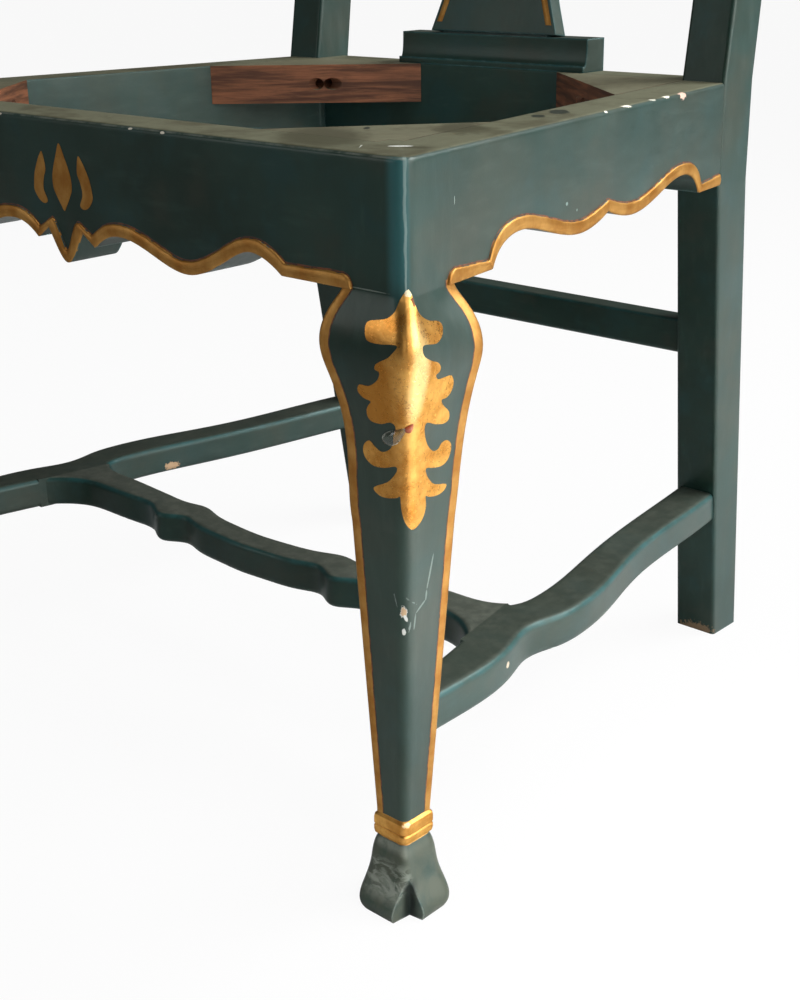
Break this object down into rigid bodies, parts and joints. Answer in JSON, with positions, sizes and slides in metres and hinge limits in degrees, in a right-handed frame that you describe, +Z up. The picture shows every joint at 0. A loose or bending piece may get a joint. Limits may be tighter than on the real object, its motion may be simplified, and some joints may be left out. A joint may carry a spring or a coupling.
{
  "type": "high-back side chair frame",
  "caption": "High-back painted side chair with scalloped gilt-edged seat rails, cloven-hoof front legs, wavy stretchers and an open seat frame.",
  "frame": {"origin": "on the floor under the middle of the chair's bounding box", "axes": "+Z up, the front of the seat faces -Y, +X to the viewer's right when looking at the front"},
  "size_m": [0.5754, 0.5314, 1.1303],
  "materials": {
    "lacquered_wood": "dark teal green lacquer with gilt edges, worn at the corners",
    "bare_wood": "bare reddish brown wood, dusty",
    "screw_steel": "dull steel"
  },
  "bodies": {
    "root": {"front_leg_left": "lacquered_wood", "front_leg_right": "lacquered_wood", "rear_post_left": "lacquered_wood", "rear_post_right": "lacquered_wood", "front_rail": "lacquered_wood", "side_rail_left": "lacquered_wood", "side_rail_right": "lacquered_wood", "rear_rail": "lacquered_wood", "side_stretcher_left": "lacquered_wood", "side_stretcher_right": "lacquered_wood", "cross_stretcher": "lacquered_wood", "rear_stretcher": "lacquered_wood", "crest_rail": "lacquered_wood", "back_splat": "lacquered_wood", "splat_shoe": "lacquered_wood", "front_corner_block_left": "bare_wood", "front_corner_block_right": "bare_wood", "rear_corner_block_left": "bare_wood", "rear_corner_block_right": "bare_wood", "corner_block_screws": "screw_steel"}
  },
  "joints": []
}
